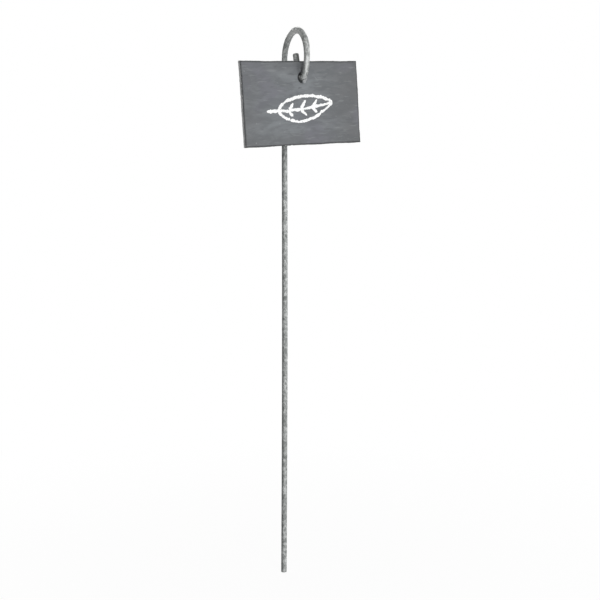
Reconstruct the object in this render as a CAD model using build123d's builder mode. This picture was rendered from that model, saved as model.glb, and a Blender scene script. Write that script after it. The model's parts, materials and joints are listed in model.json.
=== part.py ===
from build123d import *

import os
from math import atan2, cos, radians, sin, sqrt

# Plant label stake: a crook of galvanised bar with a slate tag hung on it.
# Frame: +Z up, the straight shank on the Z axis, the crook bent forward to -Y,
# and the origin at the soil line, where the stake is held when it is planted.
# Lengths are in millimetres and angles in degrees.

# bar
bar_diameter = 4.2
bar_end_chamfer = 0.4

# stake, measured to the middle of the bar unless it says otherwise
overall_height = 415.0  # foot to the outside of the loop's top
soil_depth = 115.0  # foot to the soil line
loop_radius = 18.0  # half a turn, up and over
leg_radius = 30.0  # the loop's front leg opens out to this below its widest point
leg_curl = 27.0  # how far the front leg curls back in
crook_radius = 5.8
tip_length = 14.7
tip_lean = 15.5  # back from upright, towards the shank

# slate tag
tag_width = 100.0
tag_height = 60.0
tag_thickness = 3.0
tag_arris = 0.35  # dressed edge all round both faces
hole_diameter = 5.0
hole_mouth_diameter = 8.0  # countersunk from the front
hole_mouth_angle = 90.0
hole_arris = 0.25  # round the back of the hole
hole_below_top = 11.5  # hole centre to the tag's top edge
hole_off_middle = 1.4  # hole centre to the right of the tag's middle

# hang of the tag
hang_clearance = 0.24  # slate to bar where the tag's weight rests
tag_turn = 4.5  # right end turned back, seen from above

# derived places
bar_radius = bar_diameter / 2
loop_centre_height = overall_height - soil_depth - bar_radius - loop_radius
leg_centre_forward = 2 * loop_radius - leg_radius
crook_turn = 180 - leg_curl - tip_lean
crook_centre_forward = leg_centre_forward + (leg_radius - crook_radius) * cos(radians(leg_curl))
crook_centre_height = loop_centre_height - (leg_radius - crook_radius) * sin(radians(leg_curl))

# the slate rests on the hollow side of the crook, which rises under its two faces
crook_hollow = crook_radius - bar_radius
face_reach = tag_thickness / 2 / cos(radians(tag_turn))
hole_top_height = crook_centre_height - sqrt(crook_hollow**2 - face_reach**2) + hang_clearance
hole_height = hole_top_height - hole_diameter / 2

# the hole is off the middle, so the tag hangs rolled until its weight is under it
tag_drop = tag_height / 2 - hole_below_top

# side view of the bend: forward is the first direction and up the second
side_plane = Plane(origin=(0, 0, 0), x_dir=(0, -1, 0), z_dir=(-1, 0, 0))

# face of the tag: origin in the hole, looking forward, turned and then rolled
turn = radians(tag_turn)
roll = atan2(hole_off_middle, tag_drop)
tag_plane = Plane(
    origin=(0, -crook_centre_forward, hole_height),
    x_dir=(cos(turn) * cos(roll), sin(turn) * cos(roll), sin(roll)),
    z_dir=(sin(turn), -cos(turn), 0),
)

os.makedirs("parts", exist_ok=True)

# the bar, bent cold from one length
with BuildPart() as stake:
    with BuildLine(side_plane) as bend:
        shank = Line((0, -soil_depth), (0, loop_centre_height))
        loop = JernArc(shank @ 1, shank % 1, loop_radius, -180)
        leg = JernArc(loop @ 1, loop % 1, leg_radius, -leg_curl)
        crook = JernArc(leg @ 1, leg % 1, crook_radius, -crook_turn)
        tip = Line(crook @ 1, crook @ 1 + crook % 1 * tip_length)
    with BuildSketch(Plane(origin=bend.line @ 0, z_dir=bend.line % 0)):
        Circle(bar_radius)
    sweep(path=bend.line)
    cut_ends = stake.faces().filter_by(GeomType.PLANE)
    chamfer(cut_ends.edges(), bar_end_chamfer)
stake.part.label = "stake"
export_step(stake.part, "parts/stake.step")

# the slate, drilled and countersunk once
with BuildPart() as slate_tag:
    with BuildSketch(tag_plane):
        with Locations((-hole_off_middle, -tag_drop)):
            Rectangle(tag_width, tag_height)
    extrude(amount=tag_thickness / 2, both=True)
    chamfer(slate_tag.edges(), tag_arris)
    with Locations(tag_plane.offset(tag_thickness / 2)):
        CounterSinkHole(hole_diameter / 2, hole_mouth_diameter / 2, counter_sink_angle=hole_mouth_angle)
    rims = slate_tag.edges().filter_by(GeomType.CIRCLE).sort_by(Axis(tag_plane.origin, tag_plane.z_dir))
    chamfer(rims[0], hole_arris)
slate_tag.part.label = "slate_tag"
export_step(slate_tag.part, "parts/slate_tag.step")
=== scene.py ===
import json
from math import atan2, cos, floor, pi, radians, sin

import bmesh
import bpy
from mathutils import Matrix, Vector, noise


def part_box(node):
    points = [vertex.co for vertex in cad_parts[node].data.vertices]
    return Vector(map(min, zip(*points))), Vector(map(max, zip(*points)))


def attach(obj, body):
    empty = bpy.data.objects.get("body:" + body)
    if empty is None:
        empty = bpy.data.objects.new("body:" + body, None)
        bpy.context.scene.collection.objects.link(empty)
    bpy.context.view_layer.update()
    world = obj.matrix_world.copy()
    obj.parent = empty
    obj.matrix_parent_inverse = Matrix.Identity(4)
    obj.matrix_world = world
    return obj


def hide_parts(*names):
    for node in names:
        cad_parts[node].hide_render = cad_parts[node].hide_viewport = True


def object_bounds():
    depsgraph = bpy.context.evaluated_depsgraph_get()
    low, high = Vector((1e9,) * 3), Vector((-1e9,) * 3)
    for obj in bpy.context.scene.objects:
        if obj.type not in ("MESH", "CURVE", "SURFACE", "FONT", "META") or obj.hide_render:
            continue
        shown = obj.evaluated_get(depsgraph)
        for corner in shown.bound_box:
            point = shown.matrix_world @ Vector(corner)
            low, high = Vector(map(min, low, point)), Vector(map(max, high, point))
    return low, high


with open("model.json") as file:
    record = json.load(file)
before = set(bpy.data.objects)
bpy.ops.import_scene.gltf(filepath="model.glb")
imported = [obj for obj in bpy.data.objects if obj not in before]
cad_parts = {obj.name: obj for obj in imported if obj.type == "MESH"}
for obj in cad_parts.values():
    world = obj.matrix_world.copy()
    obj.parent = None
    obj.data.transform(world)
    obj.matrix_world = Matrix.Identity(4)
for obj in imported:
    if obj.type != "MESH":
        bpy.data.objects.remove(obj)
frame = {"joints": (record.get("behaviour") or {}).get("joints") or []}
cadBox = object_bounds()

mm = 0.001
scene = bpy.context.scene
scene.view_settings.view_transform = "Standard"


# camera: where the photograph was taken from, to the left of the stake and above its middle
photoCamera = {
    "turn": 27.36,  # degrees round to the left of straight ahead
    "distance": 762.6 * mm,
    "height": 171.2 * mm,  # above the soil line
    "aimAside": 12.17 * mm,
    "aimHeight": 98.93 * mm,
    "roll": 0.119,
    "lens": 60.16,
    "sensor": 36,
    "clipStart": 10 * mm,
}


def makeCamera(cam):
    turn = radians(cam["turn"])
    place = Vector((-sin(turn), -cos(turn), 0)) * cam["distance"] + Vector((0, 0, cam["height"]))
    aim = Vector((cos(turn), -sin(turn), 0)) * cam["aimAside"] + Vector((0, 0, cam["aimHeight"]))
    ahead = (aim - place).normalized()
    right = ahead.cross(Vector((0, 0, 1))).normalized()
    up = right.cross(ahead)
    axes = Matrix((right, up, -ahead)).transposed().to_4x4()
    roll = Matrix.Rotation(radians(cam["roll"]), 4, "Z")
    data = bpy.data.cameras.new("photoCamera")
    data.lens = cam["lens"]
    data.sensor_width = cam["sensor"]
    data.clip_start = cam["clipStart"]
    holder = bpy.data.objects.new("photoCamera", data)
    holder.matrix_world = Matrix.Translation(place) @ axes @ roll
    scene.collection.objects.link(holder)
    scene.camera = holder


makeCamera(photoCamera)
print("camera set")


# node building, for materials and Geometry Nodes alike
def addNode(tree, kind, inputs=None, **settings):
    node = tree.nodes.new(kind)
    for name, value in settings.items():
        setattr(node, name, value)
    for key, value in (inputs or {}).items():
        if isinstance(value, bpy.types.NodeSocket):
            tree.links.new(value, node.inputs[key])
        else:
            node.inputs[key].default_value = value
    return node


def calc(tree, operation, *values, clamp=False):
    inputs = dict(enumerate(values))
    return addNode(tree, "ShaderNodeMath", inputs, operation=operation, use_clamp=clamp).outputs[0]


def vectorCalc(tree, operation, first, second):
    node = addNode(tree, "ShaderNodeVectorMath", {0: first, 1: second}, operation=operation)
    return node.outputs["Value" if operation in ("DOT_PRODUCT", "DISTANCE") else "Vector"]


def scaled(tree, vector, factor):
    node = addNode(tree, "ShaderNodeVectorMath", {0: vector, "Scale": factor}, operation="SCALE")
    return node.outputs["Vector"]


def partsOf(tree, vector):
    return addNode(tree, "ShaderNodeSeparateXYZ", {0: vector}).outputs


def ease(tree, value, low, high, toLow=0.0, toHigh=1.0):
    inputs = {"Value": value, "From Min": low, "From Max": high, "To Min": toLow, "To Max": toHigh}
    return addNode(tree, "ShaderNodeMapRange", inputs, interpolation_type="SMOOTHSTEP").outputs[0]


def easeMask(tree, mask, clear, full):
    # one value where the mask is clear, another where it is full
    return ease(tree, mask, 0.0, 1.0, clear, full)


def noiseAt(tree, place, scale, detail, roughness=0.5, warp=0.0):
    inputs = {"Vector": place, "Scale": scale, "Detail": detail}
    inputs.update({"Roughness": roughness, "Distortion": warp})
    return addNode(tree, "ShaderNodeTexNoise", inputs).outputs


def noiseOfSize(tree, place, size, detail):
    return noiseAt(tree, place, calc(tree, "DIVIDE", 1.0, size), detail)


def attribute(tree, name, output="Fac"):
    return addNode(tree, "ShaderNodeAttribute", attribute_name=name).outputs[output]


def startTree(name, kind, inputs, outputs):
    tree = bpy.data.node_groups.new(name, kind)
    for label, socketKind, value in inputs:
        socket = tree.interface.new_socket(label, in_out="INPUT", socket_type="NodeSocket" + socketKind)
        if value is not None:
            socket.default_value = value
    for label, socketKind in outputs:
        tree.interface.new_socket(label, in_out="OUTPUT", socket_type="NodeSocket" + socketKind)
    return tree, tree.nodes.new("NodeGroupInput").outputs, tree.nodes.new("NodeGroupOutput").inputs


# shader groups that the zinc, the slate and the chalk share
shared = {
    "grainDetail": 3.0,
    "coarseDetail": 4.0,
    "coarseRoughness": 0.6,
    "wearDetail": 3.0,
    "wearBroken": (0.35, 0.62),  # noise levels where wear starts and is full
    "dustAndShadeDetail": 4.0,
    "dustAndShadeBroken": (0.3, 0.7),
    "dustAndShadeFacing": (0.2, 0.95),  # how far up a surface has to look for the dust and shade to start and to cover it
}


def makeMottle():
    # soft-edged patches, from 0 to 1
    inputs = [("Vector", "Vector", None), ("Scale", "Float", 100.0), ("Detail", "Float", 3.0),
              ("Warp", "Float", 0.3), ("Low", "Float", 0.4), ("High", "Float", 0.6)]
    tree, given, result = startTree("mottle", "ShaderNodeTree", inputs, [("Mask", "Float")])
    patches = noiseAt(tree, given["Vector"], given["Scale"], given["Detail"], warp=given["Warp"])[0]
    tree.links.new(ease(tree, patches, given["Low"], given["High"]), result["Mask"])
    return tree


def makeGrain(cfg):
    # a fine and a coarser tooth on the surface
    inputs = [("Vector", "Vector", None), ("Scale", "Float", 1500.0), ("Depth", "Float", 0.03 * mm),
              ("Coarse Scale", "Float", 300.0), ("Coarse Depth", "Float", 0.05 * mm)]
    tree, given, result = startTree("grain", "ShaderNodeTree", inputs, [("Normal", "Vector")])
    place = given["Vector"]
    fine = noiseAt(tree, place, given["Scale"], cfg["grainDetail"])[0]
    coarse = noiseAt(tree, place, given["Coarse Scale"], cfg["coarseDetail"], cfg["coarseRoughness"])[0]
    height = calc(tree, "ADD", calc(tree, "MULTIPLY", fine, given["Depth"]),
                  calc(tree, "MULTIPLY", coarse, given["Coarse Depth"]))
    bump = addNode(tree, "ShaderNodeBump", {"Height": height, "Distance": 1.0, "Strength": 1.0})
    tree.links.new(bump.outputs[0], result["Normal"])
    return tree


def makeEdgeWear(cfg):
    # where handling and knocks have reached, from the piece's own edge attribute
    inputs = [("Vector", "Vector", None), ("Scale", "Float", 600.0), ("Amount", "Float", 0.5)]
    tree, given, result = startTree("edgeWear", "ShaderNodeTree", inputs, [("Mask", "Float")])
    broken = noiseAt(tree, given["Vector"], given["Scale"], cfg["wearDetail"])[0]
    worn = calc(tree, "MULTIPLY", attribute(tree, "edge"), ease(tree, broken, *cfg["wearBroken"]))
    tree.links.new(calc(tree, "MULTIPLY", worn, given["Amount"], clamp=True), result["Mask"])
    return tree


def makeDustAndShade(cfg):
    # dust and dirt that settle where the surface looks up; on the zinc the same patches carry painted shade
    inputs = [("Vector", "Vector", None), ("Scale", "Float", 250.0), ("Amount", "Float", 0.3)]
    tree, given, result = startTree("dust", "ShaderNodeTree", inputs, [("Mask", "Float")])
    upward = partsOf(tree, addNode(tree, "ShaderNodeNewGeometry").outputs["Normal"])["Z"]
    patchy = noiseAt(tree, given["Vector"], given["Scale"], cfg["dustAndShadeDetail"])[0]
    settled = calc(tree, "MULTIPLY", ease(tree, upward, *cfg["dustAndShadeFacing"]),
                   ease(tree, patchy, *cfg["dustAndShadeBroken"]))
    tree.links.new(calc(tree, "MULTIPLY", settled, given["Amount"], clamp=True), result["Mask"])
    return tree


mottle = makeMottle()
grain = makeGrain(shared)
edgeWear = makeEdgeWear(shared)
dust = makeDustAndShade(shared)
print("shared groups made")


def startMaterial(name):
    mat = bpy.data.materials.new(name)
    mat.use_nodes = True
    tree = mat.node_tree
    return mat, tree, tree.nodes["Principled BSDF"].inputs


def useGroup(tree, group, place, values):
    return addNode(tree, "ShaderNodeGroup", {"Vector": place, **values}, node_tree=group).outputs[0]


def patchMask(tree, place, patches):
    scale, detail, warp, low, high = patches
    values = {"Scale": scale, "Detail": detail, "Warp": warp, "Low": low, "High": high}
    return useGroup(tree, mottle, place, values)


def stretched(tree, place, scale):
    return addNode(tree, "ShaderNodeMapping", {"Vector": place, "Scale": scale}).outputs[0]


def tinted(tree, tone, color, mask, share=None):
    # the tone with a colour over it where the mask shows, all of it or a share
    amount = mask if share is None else calc(tree, "MULTIPLY", mask, share, clamp=True)
    return addNode(tree, "ShaderNodeMix", {0: amount, 6: tone, 7: color}, data_type="RGBA").outputs[2]


def coat(tree, shader, place, tone, roughness, cfg):
    tree.links.new(tone, shader["Base Color"])
    tree.links.new(roughness, shader["Roughness"])
    shader["Specular IOR Level"].default_value = cfg["shine"]
    tree.links.new(useGroup(tree, grain, place, cfg["grain"]), shader["Normal"])


def labelled(cfg, keys):
    # settings under their socket names: lumpDepth becomes Lump Depth
    return {"".join(" " + c if c.isupper() else c for c in key).title(): cfg[key] for key in keys}


def namedInputs(values):
    # the incoming geometry and a socket for each value
    kinds = {float: "Float", int: "Int", Vector: "Vector", bpy.types.Object: "Object"}
    inputs = [("Geometry", "Geometry", None)]
    for label, value in values.items():
        inputs.append((label, kinds[type(value)], value if isinstance(value, (int, float)) else None))
    return inputs


def finishTree(tree, geometry, mat, result):
    smooth = addNode(tree, "GeometryNodeSetShadeSmooth", {"Geometry": geometry})
    real = addNode(tree, "GeometryNodeRealizeInstances", {0: smooth.outputs[0]})
    finished = addNode(tree, "GeometryNodeSetMaterial", {"Geometry": real.outputs[0], "Material": mat})
    tree.links.new(finished.outputs[0], result["Geometry"])


def finishedMesh(piece, tree, values):
    # runs a Geometry Nodes tree on the piece and keeps the result as a plain mesh
    modifier = piece.modifiers.new(tree.name, "NODES")
    modifier.node_group = tree
    for item in tree.interface.items_tree:
        if item.item_type == "SOCKET" and item.in_out == "INPUT" and item.name in values:
            modifier[item.identifier] = values[item.name]
    graph = bpy.context.evaluated_depsgraph_get()
    mesh = bpy.data.meshes.new_from_object(piece.evaluated_get(graph), depsgraph=graph)
    name = piece.name
    source = piece.data
    bpy.data.objects.remove(piece)
    bpy.data.curves.remove(source)
    made = bpy.data.objects.new(name, mesh)
    scene.collection.objects.link(made)
    return made


def lineCurve(name, lines, girths=None):
    # a curve object with one straight-run spline for each list of points
    data = bpy.data.curves.new(name, "CURVE")
    data.dimensions = "3D"
    for points in lines:
        spline = data.splines.new("POLY")
        spline.points.add(len(points) - 1)
        for n, (point, place) in enumerate(zip(spline.points, points)):
            point.co = (*place, 1)
            point.radius = girths[n] if girths else 1.0
    piece = bpy.data.objects.new(name, data)
    scene.collection.objects.link(piece)
    return piece


# stake: one galvanised bar, straight up, over in a loop and back through the slate in a small crook
bar = {
    "radius": 2.1 * mm,
    "loopRadius": 18.0 * mm,  # bends are to the middle of the bar
    "legRadius": 30.0 * mm,  # the loop's front leg opens out
    "legCurl": 27.0,  # degrees, as the lean is
    "crookRadius": 5.8 * mm,
    "tipLean": 15.5,
    "tipLength": 14.1 * mm,
    "endRound": 0.42 * mm,  # the cut ends
    "endRings": 6,
    "bow": 0.65 * mm,  # the shank isn't quite straight, to +X
    # mm past the shank's top, and how far the loop strays from its plane there, to +X
    "strays": (
        (-14, 0.0), (4, 0.35), (18, 0.35), (30, 0.0), (42, -0.5), (54, -0.45), (70, 0.0)),
    # mm past the shank's top, and how much zinc has gathered there
    "gathered": (
        (-400, 0.07), (-20, 0.04), (0, 0.0), (16, 0.2), (30, 0.28), (48, 0.22), (62, 0.0), (84, 0.02),
        (92, 0.14)),
    "handledFrom": 14 * mm,  # past the shank's top, where a highlight is painted on the loop's sides
    "handledTo": 46 * mm,
    "handledFade": 9 * mm,
    "rubbedFrom": 58 * mm,  # where a highlight is painted on the crook
    "rubbedTo": 76 * mm,
    "rubbedFade": 5 * mm,
    "soiledFrom": 82 * mm,  # where the leg's shadow is painted on the tip behind the slate
    "soiledFade": 4 * mm,
    "sides": 36,
    "step": 0.45 * mm,
    "lumpDepth": 0.11 * mm,  # runs and lumps in the zinc
    "lumpSize": 6.0 * mm,
    "toothDepth": 0.09 * mm,
    "toothSize": 1.5 * mm,
    "waveDetail": 2.0,
}


def easedBetween(table, place):
    if place < table[0][0]:
        return table[0][1]
    for (a, first), (b, second) in zip(table, table[1:]):
        if a <= place < b:
            share = (place - a) / (b - a)
            return first + (second - first) * share * share * (3 - 2 * share)
    return table[-1][1]


def barPath(cfg):
    low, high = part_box("stake")
    loopHeight = high.z - cfg["radius"] - cfg["loopRadius"]
    shankLength = loopHeight - low.z
    crookTurn = 180 - cfg["legCurl"] - cfg["tipLean"]
    # each stretch is its length and its bend radius, 0 for straight
    stretches = [
        (shankLength, 0),
        (pi * cfg["loopRadius"], cfg["loopRadius"]),
        (radians(cfg["legCurl"]) * cfg["legRadius"], cfg["legRadius"]),
        (radians(crookTurn) * cfg["crookRadius"], cfg["crookRadius"]),
        (cfg["tipLength"], 0),
    ]
    total = sum(length for length, bend in stretches)
    # the cut ends get close rings, from their rounding's quarter circle
    angles = [radians(90 * k / (cfg["endRings"] - 1)) for k in range(cfg["endRings"])]
    rounding = [cfg["endRound"] * (1 - cos(angle)) for angle in angles]
    count = int((total - 2 * cfg["endRound"]) / cfg["step"])
    stride = (total - 2 * cfg["endRound"]) / count
    runs = rounding + [cfg["endRound"] + stride * i for i in range(1, count)]
    runs += [total - run for run in reversed(rounding)]
    points, girths = [], []
    for run in runs:
        # heading is 0 straight up and grows as the bar bends forward
        forward, height, heading, left = 0.0, low.z, 0.0, run
        for length, bend in stretches:
            part = min(left, length)
            if bend:
                turn = part / bend
                forward += bend * (cos(heading) - cos(heading + turn))
                height += bend * (sin(heading + turn) - sin(heading))
                heading += turn
            else:
                forward += part * sin(heading)
                height += part * cos(heading)
            left -= part
            if left <= 0:
                break
        past = (run - shankLength) / mm
        aside = cfg["bow"] * sin(pi * run / shankLength) if past < 0 else 0.0
        aside += easedBetween(cfg["strays"], past) * mm
        points.append((aside, -forward, height))
        girths.append(1 + easedBetween(cfg["gathered"], past) * mm / cfg["radius"])
    return points, girths, shankLength


def fadeIn(tree, place, start, fade):
    # 0 up to the start, then rising to 1 over the fade
    return calc(tree, "DIVIDE", calc(tree, "SUBTRACT", place, start), fade, clamp=True)


def within(tree, place, start, end, fade):
    # 1 between two places, with a fade inside each
    return calc(tree, "MULTIPLY", fadeIn(tree, place, start, fade), fadeIn(tree, end, place, fade))


def mark(tree, geometry, name, value):
    inputs = {"Geometry": geometry, "Name": name, "Value": value}
    return addNode(tree, "GeometryNodeStoreNamedAttribute", inputs, domain="POINT").outputs[0]


def endDistance(tree):
    # how far along its spline a point is, and how far from the nearer end
    run = addNode(tree, "GeometryNodeSplineParameter").outputs["Length"]
    total = addNode(tree, "GeometryNodeSplineLength").outputs["Length"]
    return run, calc(tree, "MINIMUM", run, calc(tree, "SUBTRACT", total, run))


def makeBarTree(values, mat):
    tree, given, result = startTree(
        "galvanisedBar", "GeometryNodeTree", namedInputs(values), [("Geometry", "Geometry")])
    run, fromEnd = endDistance(tree)
    # the cut ends are drawn in along a quarter circle
    share = calc(tree, "SUBTRACT", 1.0, calc(tree, "DIVIDE", fromEnd, given["End Round"]), clamp=True)
    arc = calc(tree, "SQRT", calc(tree, "SUBTRACT", 1.0, calc(tree, "MULTIPLY", share, share)))
    drawnIn = calc(tree, "MULTIPLY", given["End Round"], calc(tree, "SUBTRACT", 1.0, arc))
    girth = calc(tree, "SUBTRACT", 1.0, calc(tree, "DIVIDE", drawnIn, given["Radius"]))
    girth = calc(tree, "MULTIPLY", girth, addNode(tree, "GeometryNodeInputRadius").outputs[0])
    # marks for the zinc: the cut ends, the crook's painted highlight (and below 0 the tip's painted
    # shadow), and the loop's painted highlight
    rubbed = within(tree, run, given["Rubbed From"], given["Rubbed To"], given["Rubbed Fade"])
    tipShadow = fadeIn(tree, run, given["Soiled From"], given["Soiled Fade"])
    handled = within(tree, run, given["Handled From"], given["Handled To"], given["Handled Fade"])
    marked = mark(tree, given["Geometry"], "edge", share)
    marked = mark(tree, marked, "rubbed", calc(tree, "SUBTRACT", rubbed, tipShadow))
    marked = mark(tree, marked, "handled", handled)
    ring = addNode(tree, "GeometryNodeCurvePrimitiveCircle", {
        "Resolution": given["Sides"], "Radius": given["Radius"]})
    swept = addNode(tree, "GeometryNodeCurveToMesh", {
        "Curve": marked, "Profile Curve": ring.outputs[0], "Scale": girth, "Fill Caps": True})
    height = 0.0
    place = addNode(tree, "GeometryNodeInputPosition").outputs[0]
    for name in ("Lump", "Tooth"):
        waves = noiseOfSize(tree, place, given[name + " Size"], given["Wave Detail"])[0]
        level = calc(tree, "SUBTRACT", waves, 0.5)
        height = calc(tree, "MULTIPLY_ADD", level, given[name + " Depth"], height)
    push = scaled(tree, addNode(tree, "GeometryNodeInputNormal").outputs[0], height)
    rough = addNode(tree, "GeometryNodeSetPosition", {"Geometry": swept.outputs[0], "Offset": push})
    finishTree(tree, rough.outputs[0], mat, result)
    return tree


zinc = {
    "dark": (0.13, 0.142, 0.138, 1),
    "dull": (0.36, 0.375, 0.368, 1),
    "bright": (0.58, 0.597, 0.59, 1),
    "bloom": (0.62, 0.63, 0.62, 1),  # specks of pale oxide
    "paintedHighlight": (0.83, 0.84, 0.83, 1),  # painted highlight, on the crook and on the loop's sides
    "soil": (0.10, 0.105, 0.10, 1),  # painted shade: the leg's shadow on the tip, and shade in patches where the zinc looks up
    "bareSteel": (0.25, 0.24, 0.23, 1),
    # patches: scale, detail, warp, and the noise levels where they start and are full
    "wide": (170.0, 4.0, 0.8, 0.38, 0.62),
    "small": (620.0, 3.0, 0.4, 0.40, 0.62),
    "specks": (1100.0, 2.0, 0.0, 0.60, 0.68),
    "smallStretch": (1.0, 1.0, 0.6),  # drawn out along the shank
    "smallShare": 0.65,
    "specksShare": 0.7,
    "wear": {"Scale": 900.0, "Amount": 0.9},
    # painted shade in patches on the zinc that looks up
    "dust": {"Scale": 400.0, "Amount": 0.5},
    "grain": {"Scale": 2600.0, "Depth": 0.03 * mm, "Coarse Scale": 700.0, "Coarse Depth": 0.06 * mm},
    # each mark shows where the surface faces its side, as squarely as its band says; patches break it up
    "crookLightSide": (-0.3, -0.94, 0.15),
    "crookLightBand": (0.72, 0.97),
    "crookLightBroken": (1.0, 0.7),
    "loopLightUpward": 0.5,  # the highlight is painted on the loop's two sides and underneath
    "loopLightBand": (0.45, 0.85),
    "loopLightBroken": (1.0, 0.65),
    "tipShadowSide": (0.95, -0.3, 0.0),
    "tipShadowBand": (-0.3, 0.6, 0.05, 0.95),
    "shankShadeSide": (-0.96, 0.28, 0.0),  # painted shade down the shank's left side
    "shankShadeBand": (0.4, 0.72),
    "shankShadeTop": (0.20, 0.24),
    "shankShadeBroken": (0.75, 0.45),
    "roughness": (0.40, 0.56),
    "highlightRoughness": -0.12,  # added where the highlight is painted
    "shine": 0.12,
}


def makeZinc(cfg):
    mat, tree, shader = startMaterial("galvanisedZinc")
    place = addNode(tree, "ShaderNodeTexCoord").outputs["Object"]
    wide = patchMask(tree, place, cfg["wide"])
    small = patchMask(tree, stretched(tree, place, cfg["smallStretch"]), cfg["small"])
    tone = tinted(tree, cfg["dull"], cfg["bright"], wide)
    tone = tinted(tree, tone, cfg["dark"], small, cfg["smallShare"])
    tone = tinted(tree, tone, cfg["bloom"], patchMask(tree, place, cfg["specks"]), cfg["specksShare"])
    tone = tinted(tree, tone, cfg["bareSteel"], useGroup(tree, edgeWear, place, cfg["wear"]))
    # painted shade in patches, strongest where the zinc faces straight up
    tone = tinted(tree, tone, cfg["soil"], useGroup(tree, dust, place, cfg["dust"]))
    outward = addNode(tree, "ShaderNodeNewGeometry").outputs["Normal"]
    # painted highlights: on the crook, and on the loop's sides
    rubbed = attribute(tree, "rubbed")
    toFront = vectorCalc(tree, "DOT_PRODUCT", outward, cfg["crookLightSide"])
    highlight = calc(tree, "MULTIPLY", rubbed, ease(tree, toFront, *cfg["crookLightBand"]), clamp=True)
    highlight = calc(tree, "MULTIPLY", highlight, easeMask(tree, small, *cfg["crookLightBroken"]))
    facing = partsOf(tree, outward)
    inside = calc(tree, "SUBTRACT", calc(tree, "ABSOLUTE", facing["X"]),
                  calc(tree, "MULTIPLY", facing["Z"], cfg["loopLightUpward"]))
    loopLit = calc(tree, "MULTIPLY", attribute(tree, "handled"), ease(tree, inside, *cfg["loopLightBand"]))
    loopLit = calc(tree, "MULTIPLY", loopLit, easeMask(tree, small, *cfg["loopLightBroken"]))
    highlight = calc(tree, "MAXIMUM", highlight, loopLit)
    tone = tinted(tree, tone, cfg["paintedHighlight"], highlight)
    # painted shadow of the leg on the tip, more of it to the right
    toRight = vectorCalc(tree, "DOT_PRODUCT", outward, cfg["tipShadowSide"])
    tipShadow = calc(tree, "MULTIPLY", calc(tree, "MULTIPLY", rubbed, -1.0, clamp=True),
                  ease(tree, toRight, *cfg["tipShadowBand"]))
    tone = tinted(tree, tone, cfg["soil"], tipShadow)
    # painted shade down the shank's left side, fading out under the slate
    toLeft = vectorCalc(tree, "DOT_PRODUCT", outward, cfg["shankShadeSide"])
    height = partsOf(tree, place)["Z"]
    shankShade = calc(tree, "MULTIPLY", ease(tree, toLeft, *cfg["shankShadeBand"]),
                  ease(tree, height, *cfg["shankShadeTop"], 1.0, 0.0))
    shankShade = calc(tree, "MULTIPLY", shankShade, easeMask(tree, wide, *cfg["shankShadeBroken"]))
    tone = tinted(tree, tone, cfg["dark"], shankShade)
    roughness = easeMask(tree, small, *cfg["roughness"])
    roughness = calc(tree, "MULTIPLY_ADD", highlight, cfg["highlightRoughness"], roughness)
    coat(tree, shader, place, tone, roughness, cfg)
    return mat


def makeBar(cfg):
    points, girths, shankLength = barPath(cfg)
    values = labelled(cfg, (
        "radius", "endRound", "sides", "lumpDepth", "lumpSize", "toothDepth", "toothSize", "waveDetail",
        "handledFade", "rubbedFade", "soiledFade"))
    places = labelled(cfg, ("handledFrom", "handledTo", "rubbedFrom", "rubbedTo", "soiledFrom"))
    values.update({label: shankLength + place for label, place in places.items()})
    tree = makeBarTree(values, makeZinc(zinc))
    return finishedMesh(lineCurve("galvanisedStake", [points], girths), tree, values)


barPiece = makeBar(bar)
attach(barPiece, "root")
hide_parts("stake")
print("bar made,", len(barPiece.data.polygons), "faces")


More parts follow.
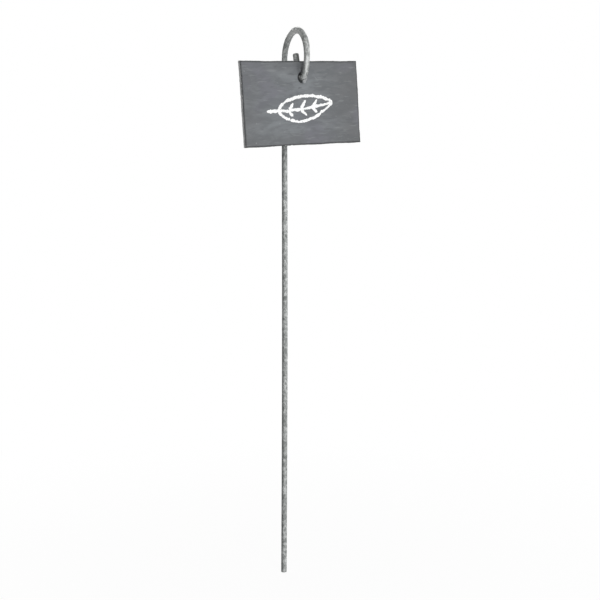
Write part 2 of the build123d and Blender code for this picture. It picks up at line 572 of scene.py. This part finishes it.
# slate: a split tile with dressed edges, countersunk once for the bar
slate = {
    "width": 100.0 * mm,
    "height": 60.0 * mm,
    "thick": 3.0 * mm,
    "cell": 0.5 * mm,  # mesh spacing
    "seed": 4.7,
    # split faces
    "frontRelief": 0.10 * mm,
    "backRelief": 0.16 * mm,
    "streakLong": 16 * mm,
    "streakHigh": 5 * mm,
    "streakShare": 0.45,  # of the relief
    "streakFractal": (0.9, 2.1, 4),  # roughness, how much finer each next layer is, and layers
    "ledgeLong": 26 * mm,
    "ledgeHigh": 11 * mm,
    "ledgeShare": 0.42,
    "ledgeCount": 2.4,  # about how many levels there are each way
    "ledgeSlope": 0.10,  # share of a level over which one steps down to the next
    "ledgeRagged": 0.25,
    "raggedLong": 4 * mm,
    "raggedHigh": 2 * mm,
    # dressed edges
    "arris": 0.3 * mm,
    "arrisReach": 4,  # how many times its size it reaches into the face
    "shoulder": 0.08 * mm,  # the faces fall away towards the edges
    "shoulderReach": 1.6 * mm,
    "rimWidth": 1.8 * mm,  # darker band along the edges
    "wander": 0.28 * mm,  # how far the outline strays
    "wanderSize": 13.0 * mm,
    "wanderReach": 6.0 * mm,
    "waverShare": 0.35,  # a quicker waver on top of it
    "waverTimes": 4.3,
    # side faces
    "sideShares": (0.0, 0.05, 0.12, 0.26, 0.42, 0.58, 0.74, 0.88, 0.95, 1.0),  # rings between the two edges
    "edgeReach": 1.5,  # a point this many arrises from an edge, or nearer, belongs to it
    "sideInset": 0.92,  # share of the thickness where the side is pale
    "sideFade": 0.12,
    "sideEased": 0.05 * mm,  # how far the side draws in at its two edges
    "split": 0.16 * mm,  # ledges between the layers
    "layerShare": 0.8,
    "layerLong": 7 * mm,
    "layerThick": 0.5 * mm,
    "chipShare": 0.5,
    "chipLong": 1.3 * mm,
    "chipThick": 0.35 * mm,
    # hole
    "holeAside": 1.4 * mm,  # to the right of the middle
    "holeUp": 18.5 * mm,  # above the middle
    "patchHalf": 6 * mm,  # half the square of the face that is laid round the hole
    "patchRings": 8,
    "boreRadius": 2.5 * mm,
    "boreShares": (0.25, 0.5, 0.75, 1.0),
    "unworn": 0.3 * mm,  # how much tighter the bore still is at its bottom, where the bar never rubs
    "unwornPower": 1.5,  # higher keeps it nearer the very bottom
    "mouthRadius": 4.1 * mm,
    "mouthShift": (-0.4 * mm, -0.35 * mm),  # the countersink sits a little off the bore
    "mouthLip": 0.12 * mm,  # its rounded edge
    "mouthDrop": (0.07 * mm, 0.04 * mm),  # how far the edge and the cone below it lie under the face
    "mouthShares": (0.2, 0.4, 0.6, 0.8, 1.0),
    "mouthShading": 0.7,  # share of the hole's painted shading at its edge
    "backRimRadius": 2.75 * mm,
    "drilled": 0.05 * mm,  # unevenness from the drill
    "drilledRound": 3,
    "drilledDeep": 0.5 * mm,
    "broken": 0.35 * mm,  # chips out of the rims
    "brokenRound": 2.2,
    "holeShadeSide": 190.0,  # degrees round from the right, where shade is painted into the hole; the other side gets painted light
    "holeShadeSharp": 1.8,
    "holeShadeShare": 0.5,
}

swing = frame["joints"][0]


def slateAxes(cfg):
    # from the tile's own right, up and out, measured from its middle, to the place where it hangs
    out = Vector(swing["axis"]).normalized()
    level = Vector((0, 0, 1)).cross(out)
    roll = atan2(cfg["holeAside"], cfg["holeUp"])
    right = level * cos(roll) + Vector((0, 0, 1)) * sin(roll)
    up = out.cross(right)
    middle = Vector(swing["pos_m"]) - right * cfg["holeAside"] - up * cfg["holeUp"]
    return Matrix.Translation(middle) @ Matrix((right, up, out)).transposed().to_4x4()


def waver(seed, *place):
    # the seeds below differ only to keep one kind of unevenness apart from another
    return noise.noise(Vector((*place, seed)))


def clamped(value):
    return max(0.0, min(1.0, value))


def relief(cfg, x, y, seed):
    # the split face: long shallow streaks and low ledges where layers have come away
    streaks = noise.fractal(
        Vector((x / cfg["streakLong"], y / cfg["streakHigh"], seed)), *cfg["streakFractal"])
    level = cfg["ledgeCount"] * waver(seed + 9, x / cfg["ledgeLong"], y / cfg["ledgeHigh"])
    level += cfg["ledgeRagged"] * waver(seed + 5, x / cfg["raggedLong"], y / cfg["raggedHigh"])
    step = floor(level)
    ledge = step + clamped((level - step - 0.5) / cfg["ledgeSlope"] + 0.5)
    return cfg["streakShare"] * streaks + cfg["ledgeShare"] * ledge


def outlineShift(cfg, x, y):
    # how the dressed edges stray from the straight, fading out into the face
    halfWide, halfHigh = cfg["width"] / 2, cfg["height"] / 2
    edges = (
        (halfWide - x, y, (1, 0)), (halfHigh - y, x, (0, 1)),
        (halfWide + x, y, (-1, 0)), (halfHigh + y, x, (0, -1)))
    shift = Vector((0.0, 0.0))
    for index, (near, along, away) in enumerate(edges):
        fade = max(0.0, 1 - near / cfg["wanderReach"]) ** 2
        if fade > 0:
            place = along / cfg["wanderSize"]
            amount = waver(cfg["seed"] + 11 * index, place, 0)
            amount += cfg["waverShare"] * waver(cfg["seed"] + 3 * index, place * cfg["waverTimes"], 0)
            shift += Vector(away) * fade * amount * cfg["wander"]
    return shift


def facePoint(cfg, x, y, side):
    # a point of the front (side 1) or back (side -1) face
    nearX, nearY = cfg["width"] / 2 - abs(x), cfg["height"] / 2 - abs(y)
    reach = cfg["arrisReach"] * cfg["arris"]
    shift = outlineShift(cfg, x, y)
    inX = cfg["arris"] * max(0.0, 1 - nearX / reach)
    inY = cfg["arris"] * max(0.0, 1 - nearY / reach)
    depth = cfg["frontRelief"] if side > 0 else cfg["backRelief"]
    lift = depth * relief(cfg, x, y, cfg["seed"] + side)
    lift -= cfg["shoulder"] * max(0.0, 1 - min(nearX, nearY) / cfg["shoulderReach"]) ** 2
    return Vector((
        x + shift.x - (inX if x > 0 else -inX),
        y + shift.y - (inY if y > 0 else -inY),
        side * (cfg["thick"] / 2 + lift)))


def addVert(form, place, **marks):
    vert = form.verts.new(place)
    for name, value in marks.items():
        vert[form.verts.layers.float[name]] = value
    return vert


def bridge(form, ringA, ringB):
    # faces between two closed rings with as many points
    count = len(ringA)
    for i in range(count):
        j = (i + 1) % count
        form.faces.new((ringA[i], ringA[j], ringB[j], ringB[i]))


def walkRound(grid, lowI, lowJ, highI, highJ):
    ring = [grid[i, lowJ] for i in range(lowI, highI)]
    ring += [grid[highI, j] for j in range(lowJ, highJ)]
    ring += [grid[i, highJ] for i in range(highI, lowI, -1)]
    ring += [grid[lowI, j] for j in range(highJ, lowJ, -1)]
    return ring


def addFace(cfg, form, side):
    # one split face, open where the patch with the hole goes: its outer ring and the patch's
    cell = cfg["cell"]
    wide, high = round(cfg["width"] / cell), round(cfg["height"] / cell)
    half = round(cfg["patchHalf"] / cell)
    holeI = round((cfg["holeAside"] + cfg["width"] / 2) / cell)
    holeJ = round((cfg["holeUp"] + cfg["height"] / 2) / cell)
    grid = {}
    for i in range(wide + 1):
        for j in range(high + 1):
            if abs(i - holeI) < half and abs(j - holeJ) < half:
                continue
            x, y = i * cell - cfg["width"] / 2, j * cell - cfg["height"] / 2
            near = min(i, wide - i, j, high - j) * cell
            rim = max(0.0, 1 - near / cfg["rimWidth"])
            grid[i, j] = addVert(form, facePoint(cfg, x, y, side), edge=rim)
    for i in range(wide):
        for j in range(high):
            if holeI - half <= i < holeI + half and holeJ - half <= j < holeJ + half:
                continue
            form.faces.new((grid[i, j], grid[i + 1, j], grid[i + 1, j + 1], grid[i, j + 1]))
    outer = walkRound(grid, 0, 0, wide, high)
    return outer, walkRound(grid, holeI - half, holeJ - half, holeI + half, holeJ + half)


def addSides(cfg, form, front, back):
    # side faces: ledges of split layers, between the two dressed edges
    nearWide = cfg["width"] / 2 - cfg["edgeReach"] * cfg["arris"]
    nearHigh = cfg["height"] / 2 - cfg["edgeReach"] * cfg["arris"]
    seed = cfg["seed"]
    previous = front
    for share in cfg["sideShares"]:
        fromMiddle = abs(2 * share - 1)
        inside = clamped((cfg["sideInset"] - fromMiddle) / cfg["sideFade"])
        depth = cfg["thick"] / 2 - cfg["arris"] - share * (cfg["thick"] - 2 * cfg["arris"])
        ring = []
        for a, b in zip(front, back):
            x, y = (a.co.x + b.co.x) / 2, (a.co.y + b.co.y) / 2
            awayX = (x > nearWide) - (x < -nearWide)
            awayY = (y > nearHigh) - (y < -nearHigh)
            layer = waver(seed, x / cfg["layerLong"], y / cfg["layerLong"] + depth / cfg["layerThick"])
            chip = waver(seed + 4, x / cfg["chipLong"], y / cfg["chipLong"] + depth / cfg["chipThick"])
            out = cfg["arris"] + cfg["split"] * (cfg["layerShare"] * layer + cfg["chipShare"] * chip)
            out -= cfg["sideEased"] * fromMiddle ** 3
            place = (x + awayX * out, y + awayY * out, depth)
            ring.append(addVert(form, place, edge=1 - inside, side=inside))
        bridge(form, previous, ring)
        previous = ring
    bridge(form, previous, back)


def holeProfile(cfg):
    # radius, height and painted shading of each ring: mouth, countersink, bore and back rim
    top, bottom = cfg["thick"] / 2, -cfg["thick"] / 2
    sink = cfg["mouthRadius"] - cfg["boreRadius"]
    edgeDrop, coneDrop = cfg["mouthDrop"]
    profile = [
        (cfg["mouthRadius"] + cfg["mouthLip"], top, 0.0),
        (cfg["mouthRadius"], top - edgeDrop, cfg["mouthShading"])]
    for share in cfg["mouthShares"]:
        profile.append((cfg["mouthRadius"] - sink * share, top - coneDrop - sink * share, 1.0))
    boreTop = top - sink
    boreEnd = bottom + cfg["backRimRadius"] - cfg["boreRadius"]
    for share in cfg["boreShares"]:
        profile.append((cfg["boreRadius"], boreTop + (boreEnd - boreTop) * share, 1.0))
    return profile + [(cfg["backRimRadius"], bottom, 0.0)]


def addHoleRing(cfg, form, angles, radius, height, hollow):
    sink = cfg["mouthRadius"] - cfg["boreRadius"]
    inBore = radius < 0.5 * (cfg["boreRadius"] + cfg["mouthRadius"])
    # the mouth is off the bore, and the back rim isn't
    off = Vector(cfg["mouthShift"]) * max(0.0, (radius - cfg["boreRadius"]) / sink) * (height > 0)
    ring = []
    for angle in angles:
        roundX, roundY = cos(angle) * cfg["drilledRound"], sin(angle) * cfg["drilledRound"]
        r = radius + cfg["drilled"] * waver(cfg["seed"] + 2, roundX, height / cfg["drilledDeep"] + roundY)
        if hollow < 1:
            chip = waver(cfg["seed"] + 7, cos(angle) * cfg["brokenRound"], sin(angle) * cfg["brokenRound"])
            r += cfg["broken"] * max(0.0, chip)
        if inBore:
            r -= cfg["unworn"] * max(0.0, -sin(angle)) ** cfg["unwornPower"]
        place = (cfg["holeAside"] + off.x + r * cos(angle), cfg["holeUp"] + off.y + r * sin(angle), height)
        # painted shade towards one side of the hole, painted light towards the other
        shaded = clamped(cfg["holeShadeSharp"] * cos(angle - radians(cfg["holeShadeSide"])) + cfg["holeShadeShare"])
        ring.append(addVert(form, place, hollow=hollow * (2 * shaded - 1)))
    return ring


def addPatch(cfg, form, square, ring, side):
    # the face between the square opening in the grid and the hole's rim
    previous = square
    for k in range(1, cfg["patchRings"]):
        share = k / cfg["patchRings"]
        between = []
        for a, b in zip(square, ring):
            flat = a.co.lerp(b.co, share)
            onFace = facePoint(cfg, flat.x, flat.y, side).z
            height = onFace * (1 - share ** 3) + b.co.z * share ** 3
            between.append(addVert(form, (flat.x, flat.y, height)))
        bridge(form, previous, between)
        previous = between
    bridge(form, previous, ring)


def makeSlateMesh(cfg):
    form = bmesh.new()
    for name in ("edge", "side", "hollow"):
        form.verts.layers.float.new(name)
    laid = form.verts.layers.float_vector.new("laid")
    front, frontPatch = addFace(cfg, form, 1)
    back, backPatch = addFace(cfg, form, -1)
    addSides(cfg, form, front, back)
    angles = [atan2(v.co.y - cfg["holeUp"], v.co.x - cfg["holeAside"]) for v in frontPatch]
    walls = [addHoleRing(cfg, form, angles, *values) for values in holeProfile(cfg)]
    addPatch(cfg, form, frontPatch, walls[0], 1)
    addPatch(cfg, form, backPatch, walls[-1], -1)
    for a, b in zip(walls, walls[1:]):
        bridge(form, a, b)
    # patterns follow the tile as it lies flat, before it is hung
    for vert in form.verts:
        vert[laid] = vert.co
    bmesh.ops.transform(form, matrix=slateAxes(cfg), verts=form.verts)
    bmesh.ops.recalc_face_normals(form, faces=form.faces)
    mesh = bpy.data.meshes.new("slateTile")
    form.to_mesh(mesh)
    form.free()
    mesh.shade_smooth()
    return mesh


stone = {
    "base": (0.142, 0.152, 0.162, 1),
    "light": (0.198, 0.212, 0.223, 1),
    "dark": (0.098, 0.106, 0.112, 1),
    "scratch": (0.27, 0.28, 0.285, 1),
    "warm": (0.104, 0.102, 0.102, 1),  # rubbed and weathered, to the right and along the edges
    "violet": (0.150, 0.150, 0.174, 1),
    "rim": (0.034, 0.036, 0.038, 1),
    "hollow": (0.022, 0.024, 0.026, 1),  # painted shade in the drilled hole
    "paleTone": (0.80, 0.81, 0.81, 1),
    "fleck": (0.30, 0.31, 0.31, 1),
    "stretch": {"long": (0.35, 1.0, 1.0), "drawn": (0.16, 1.0, 1.0)},  # along the slate's width
    # patches: scale, detail, warp, and the noise levels where they start and are full
    "clouds": (55.0, 5.0, 1.2, 0.38, 0.64),
    # laid over the clouds in turn: colour, its share, how it is stretched, and its patches
    "layers": (
        ("violet", 0.6, "plain", (28.0, 3.0, 0.5, 0.5, 0.66)),
        ("dark", 0.4, "long", (240.0, 4.0, 0.6, 0.42, 0.62)),
        ("dark", 0.7, "drawn", (480.0, 4.0, 0.8, 0.58, 0.72)),
        ("scratch", 0.32, "drawn", (620.0, 3.0, 0.25, 0.57, 0.70)),
        ("fleck", 0.5, "plain", (420.0, 2.0, 0.0, 0.69, 0.78)),
    ),
    "warmAside": (20 * mm, 50 * mm),  # from the middle, where the warm tone starts and is full
    "warmUp": (14 * mm, 30 * mm),
    "warmShare": 0.35,
    "warmRight": (0.0, 55 * mm),
    "warmRightShare": 0.6,
    "rimBand": (0.15, 0.75),
    "rimShare": 0.9,
    "sideShare": 0.85,
    "holeLightShare": 0.35,  # of the painted light on the hole's right side
    "wear": {"Scale": 500.0, "Amount": 0.1},
    "dust": {"Scale": 300.0, "Amount": 0.4},
    "grain": {"Scale": 2200.0, "Depth": 0.03 * mm, "Coarse Scale": 420.0, "Coarse Depth": 0.10 * mm},
    "roughness": (0.62, 0.74),
    "shine": 0.35,
}


def makeStone(cfg):
    mat, tree, shader = startMaterial("rivenSlate")
    laid = attribute(tree, "laid", "Vector")
    side = attribute(tree, "side")
    hollow = attribute(tree, "hollow")
    ways = {name: stretched(tree, laid, scale) for name, scale in cfg["stretch"].items()}
    ways["plain"] = laid
    clouds = patchMask(tree, ways["long"], cfg["clouds"])
    tone = tinted(tree, cfg["base"], cfg["light"], clouds)
    along = partsOf(tree, laid)
    aside = ease(tree, calc(tree, "ABSOLUTE", along["X"]), *cfg["warmAside"])
    upward = ease(tree, calc(tree, "ABSOLUTE", along["Y"]), *cfg["warmUp"])
    edges = calc(tree, "MULTIPLY", calc(tree, "MAXIMUM", aside, upward), cfg["warmShare"])
    toRight = calc(tree, "MULTIPLY", ease(tree, along["X"], *cfg["warmRight"]), cfg["warmRightShare"])
    tone = tinted(tree, tone, cfg["warm"], calc(tree, "MAXIMUM", edges, toRight))
    for color, share, way, patches in cfg["layers"]:
        tone = tinted(tree, tone, cfg[color], patchMask(tree, ways[way], patches), share)
    rim = ease(tree, attribute(tree, "edge"), *cfg["rimBand"])
    tone = tinted(tree, tone, cfg["rim"], rim, cfg["rimShare"])
    tone = tinted(tree, tone, cfg["paleTone"], side, cfg["sideShare"])
    # above 0 where shade is painted into the hole, and below 0 where light is painted on its other side
    tone = tinted(tree, tone, cfg["hollow"], hollow, 1.0)
    tone = tinted(tree, tone, cfg["paleTone"], hollow, -cfg["holeLightShare"])
    tone = tinted(tree, tone, cfg["fleck"], useGroup(tree, edgeWear, laid, cfg["wear"]))
    settled = calc(tree, "MULTIPLY", useGroup(tree, dust, laid, cfg["dust"]), side)
    tone = tinted(tree, tone, cfg["paleTone"], settled)
    coat(tree, shader, ways["long"], tone, easeMask(tree, clouds, *cfg["roughness"]), cfg)
    return mat


slatePiece = bpy.data.objects.new("slateTile", makeSlateMesh(slate))
scene.collection.objects.link(slatePiece)
slatePiece.data.materials.append(makeStone(stone))
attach(slatePiece, "tag")
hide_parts("slate_tag")
print("slate made,", len(slatePiece.data.polygons), "faces")


# chalk: one plain leaf with its veins, drawn by hand across the middle of the slate
leaf = {
    "stalk": (-31.0 * mm, -5.5 * mm),  # ends of the midrib, from the slate's middle
    "tip": (26.0 * mm, 0.5 * mm),
    "sag": 1.6 * mm,
    "base": 0.17,  # share of the midrib where the blade begins
    "halfWidth": 8.8 * mm,
    "fullness": 0.8,  # below 1 the blade is fuller, and widest nearer its base
    "veins": (0.33, 0.51, 0.69),  # shares of the midrib where pairs of veins leave it
    "veinLean": 46.0,  # degrees off the midrib
    "veinReach": 0.62,  # share of the blade that they cross
    "veinLag": 0.02,  # how much nearer the stalk the lower ones leave
    "linePoints": 60,
    "veinPoints": 12,
    "shake": 0.6 * mm,  # of the hand
    "shakeSize": 5 * mm,
    "seed": 12.0,
    "stroke": 2.1 * mm,
    "lift": 0.13 * mm,  # how proud the chalk stands
    "step": 0.3 * mm,
    "sides": 20,
    "blunt": -0.1 * mm,  # from the stroke's end, where its taper would come to a point
    "taper": 1.1 * mm,  # and where the stroke is full
    "pressSize": 4 * mm,  # the hand presses harder and softer
    "pressDetail": 2.0,
    "press": (0.3, 0.7, 0.74, 1.2),  # noise levels, and the stroke's width at each
    "ragged": 0.95 * mm,
    "raggedSize": 1.4 * mm,
    "raggedDetail": 3.0,
    "pores": 0.16 * mm,  # hollows in the stone that took no chalk
    "poreSize": 0.9 * mm,
    "poreDetail": 3.0,
    "pore": (0.56, 0.70),  # noise levels where they start and are full
    "above": 5 * mm,  # the slate's face is looked for from this high
    "reach": 20 * mm,
}


def leafLines(cfg):
    stalk, tip = Vector(cfg["stalk"]), Vector(cfg["tip"])
    ahead = (tip - stalk).normalized()
    aside = Vector((-ahead.y, ahead.x))
    length = (tip - stalk).length
    lean = radians(cfg["veinLean"])
    shares = [k / cfg["linePoints"] for k in range(cfg["linePoints"] + 1)]

    def bladePoint(share, across):
        return stalk.lerp(tip, share) + aside * (across - cfg["sag"] * sin(pi * share))

    def halfWidthAt(share):
        along = (share - cfg["base"]) / (1 - cfg["base"])
        if not 0 < along < 1:
            return 0.0
        return cfg["halfWidth"] * sin(pi * along ** cfg["fullness"]) ** cfg["fullness"]

    lines = [[bladePoint(share, 0) for share in shares]]
    for way in (1, -1):
        blade = [cfg["base"] + (1 - cfg["base"]) * share for share in shares]
        lines.append([bladePoint(share, way * halfWidthAt(share)) for share in blade])
        for foot in cfg["veins"]:
            reach = cfg["veinReach"] * halfWidthAt(foot) / sin(lean)
            start = foot - cfg["veinLag"] * (way < 0)
            runs = [reach * k / cfg["veinPoints"] for k in range(cfg["veinPoints"] + 1)]
            vein = [bladePoint(start + run * cos(lean) / length, way * run * sin(lean)) for run in runs]
            lines.append(vein)

    def shaken(point, seed):
        x, y = point.x / cfg["shakeSize"], point.y / cfg["shakeSize"]
        return point + cfg["shake"] * Vector((waver(seed, x, y), waver(seed + 0.5, x, y)))

    return [[shaken(point, cfg["seed"] + n) for point in line] for n, line in enumerate(lines)]


def makeChalkTree(cfg, values, mat):
    tree, given, result = startTree(
        "chalkStroke", "GeometryNodeTree", namedInputs(values), [("Geometry", "Geometry")])
    facing = given["Facing"]
    drawn = addNode(tree, "GeometryNodeResampleCurve", {
        "Curve": given["Geometry"], "Length": given["Step"]}, mode="LENGTH")
    turned = addNode(tree, "GeometryNodeSetCurveNormal", {
        "Curve": drawn.outputs[0], "Normal": facing}, mode="FREE")
    run, fromEnd = endDistance(tree)
    taper = calc(tree, "SQRT", ease(tree, fromEnd, given["Blunt"], given["Taper"]))
    place = addNode(tree, "GeometryNodeInputPosition").outputs[0]
    press = noiseOfSize(tree, place, given["Press Size"], cfg["pressDetail"])[0]
    girth = calc(tree, "MULTIPLY", taper, ease(tree, press, *cfg["press"]))
    ring = addNode(tree, "GeometryNodeCurvePrimitiveCircle", {"Resolution": given["Sides"], "Radius": 0.5})
    size = addNode(tree, "ShaderNodeCombineXYZ", {
        0: calc(tree, "MULTIPLY", given["Lift"], 2.0), 1: given["Stroke"], 2: 1.0})
    flat = addNode(tree, "GeometryNodeTransform", {"Geometry": ring.outputs[0], "Scale": size.outputs[0]})
    swept = addNode(tree, "GeometryNodeCurveToMesh", {
        "Curve": turned.outputs[0], "Profile Curve": flat.outputs[0], "Scale": girth, "Fill Caps": True})
    # height over the slate's face, eaten away where the stone's hollows took no chalk
    fromFace = vectorCalc(tree, "SUBTRACT", place, given["Face Point"])
    height = vectorCalc(tree, "DOT_PRODUCT", fromFace, facing)
    bare = noiseOfSize(tree, place, given["Pore Size"], cfg["poreDetail"])[0]
    eaten = calc(tree, "MULTIPLY", ease(tree, bare, *cfg["pore"]), given["Pores"])
    proud = calc(tree, "SUBTRACT", height, eaten)
    # ragged sideways, then laid on the stone
    stray = noiseOfSize(tree, place, given["Ragged Size"], cfg["raggedDetail"])["Color"]
    centred = vectorCalc(tree, "SUBTRACT", stray, (0.5, 0.5, 0.5))
    strayed = scaled(tree, centred, calc(tree, "MULTIPLY", given["Ragged"], 2.0))
    moved = vectorCalc(tree, "ADD", place, strayed)
    eye = vectorCalc(tree, "ADD", moved, scaled(tree, facing, cfg["above"]))
    stoneFace = addNode(tree, "GeometryNodeObjectInfo", {
        "Object": given["Slate"]}, transform_space="ORIGINAL")
    landing = addNode(tree, "GeometryNodeRaycast", {
        "Target Geometry": stoneFace.outputs["Geometry"], "Source Position": eye,
        "Ray Direction": scaled(tree, facing, -1.0), "Ray Length": cfg["reach"]})
    seat = vectorCalc(tree, "ADD", landing.outputs["Hit Position"], scaled(tree, facing, proud))
    pressed = addNode(tree, "GeometryNodeSetPosition", {"Geometry": swept.outputs[0], "Position": seat})
    finishTree(tree, pressed.outputs[0], mat, result)
    return tree


chalkTone = {
    "white": (0.97, 0.975, 0.97, 1),
    "worn": (0.66, 0.68, 0.69, 1),
    "thin": (900.0, 3.0, 0.2, 0.56, 0.72),  # patches where it is worn, as for the slate
    "thinShare": 0.5,
    "grain": {"Scale": 2400.0, "Depth": 0.03 * mm, "Coarse Scale": 900.0, "Coarse Depth": 0.05 * mm},
    "roughness": (0.82, 0.92),
    "shine": 0.2,
}


def makeChalkMaterial(cfg):
    mat, tree, shader = startMaterial("dryChalk")
    place = addNode(tree, "ShaderNodeTexCoord").outputs["Object"]
    thin = patchMask(tree, place, cfg["thin"])
    tone = tinted(tree, cfg["white"], cfg["worn"], thin, cfg["thinShare"])
    coat(tree, shader, place, tone, easeMask(tree, thin, *cfg["roughness"]), cfg)
    return mat


def makeChalk(cfg):
    axes = slateAxes(slate)
    front = slate["thick"] / 2
    lines = [[axes @ Vector((point.x, point.y, front)) for point in line] for line in leafLines(cfg)]
    values = labelled(cfg, (
        "stroke", "lift", "step", "sides", "blunt", "taper", "pressSize", "ragged", "raggedSize",
        "pores", "poreSize"))
    facePlace = axes @ Vector((0, 0, front))
    values.update({"Slate": slatePiece, "Facing": axes.col[2].to_3d(), "Face Point": facePlace})
    tree = makeChalkTree(cfg, values, makeChalkMaterial(chalkTone))
    return finishedMesh(lineCurve("chalkLeaf", lines), tree, values)


chalkPiece = makeChalk(leaf)
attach(chalkPiece, "tag")
print("chalk made,", len(chalkPiece.data.polygons), "faces")


# studio: white room, pale floor, a softbox ahead, a weaker one to its right and a large one behind
studio = {
    "floorHalf": 3.0,  # metres
    "floorColor": (0.9, 0.9, 0.9, 1),
    "floorGlow": 0.95,  # share of the floor round the foot that is plain white to the camera
    "floorPlain": 0.5,  # past this distance all of it is
    "roomLight": 0.06,
    "lamps": {  # turn is to the right of straight ahead and rise above level, in degrees
        "keyLamp": {"turn": -5, "rise": 18, "reach": 1.3, "size": 0.5, "power": 9.4},
        "fillLamp": {"turn": 35, "rise": 0, "reach": 1.5, "size": 0.8, "power": 6.5},
        "backLamp": {"turn": 172, "rise": 36, "reach": 1.6, "size": 1.6, "power": 16},
    },
    "aim": (0.0, 0.0, 0.2),  # where all three look
}


def seenDirectly(tree):
    # 1 for what the camera sees, also in a reflection, and 0 for what lights the object
    path = addNode(tree, "ShaderNodeLightPath").outputs
    seen = calc(tree, "MAXIMUM", path["Is Camera Ray"], path["Is Glossy Ray"])
    return calc(tree, "MAXIMUM", seen, path["Is Transmission Ray"])


def makeWorld(cfg):
    world = bpy.data.worlds.new("whiteRoom")
    world.use_nodes = True
    scene.world = world
    tree = world.node_tree
    tree.nodes.clear()
    strength = addNode(tree, "ShaderNodeMapRange", {
        "Value": seenDirectly(tree), "To Min": cfg["roomLight"], "To Max": 1.0})
    white = addNode(tree, "ShaderNodeBackground", {"Color": (1, 1, 1, 1), "Strength": strength.outputs[0]})
    addNode(tree, "ShaderNodeOutputWorld", {"Surface": white.outputs[0]})


def makeFloor(cfg):
    half = cfg["floorHalf"]
    height = cadBox[0][2]
    mesh = bpy.data.meshes.new("floor")
    corners = [(-half, -half, height), (half, -half, height), (half, half, height), (-half, half, height)]
    mesh.from_pydata(corners, [], [(0, 1, 2, 3)])
    ground = bpy.data.objects.new("floor", mesh)
    scene.collection.objects.link(ground)
    mat = bpy.data.materials.new("paleFloor")
    mat.use_nodes = True
    tree = mat.node_tree
    tree.nodes.clear()
    place = addNode(tree, "ShaderNodeTexCoord").outputs["Object"]
    away = vectorCalc(tree, "DISTANCE", place, (0, 0, height))
    share = ease(tree, away, 0.0, cfg["floorPlain"], cfg["floorGlow"], 1.0)
    matt = addNode(tree, "ShaderNodeBsdfDiffuse", {"Color": cfg["floorColor"]})
    glow = addNode(tree, "ShaderNodeEmission")
    mix = addNode(tree, "ShaderNodeMixShader", {
        0: calc(tree, "MULTIPLY", seenDirectly(tree), share), 1: matt.outputs[0], 2: glow.outputs[0]})
    addNode(tree, "ShaderNodeOutputMaterial", {"Surface": mix.outputs[0]})
    mesh.materials.append(mat)


def makeLamps(cfg):
    for name, lamp in cfg["lamps"].items():
        data = bpy.data.lights.new(name, "AREA")
        data.shape = "DISK"
        data.size = lamp["size"]
        data.energy = lamp["power"]
        holder = bpy.data.objects.new(name, data)
        turn, rise = radians(lamp["turn"]), radians(lamp["rise"])
        fromAim = Vector((sin(turn) * cos(rise), -cos(turn) * cos(rise), sin(rise))) * lamp["reach"]
        facing = (-fromAim).to_track_quat("-Z", "Y").to_matrix().to_4x4()
        holder.matrix_world = Matrix.Translation(Vector(cfg["aim"]) + fromAim) @ facing
        scene.collection.objects.link(holder)


makeWorld(studio)
makeFloor(studio)
makeLamps(studio)
print("studio lit")
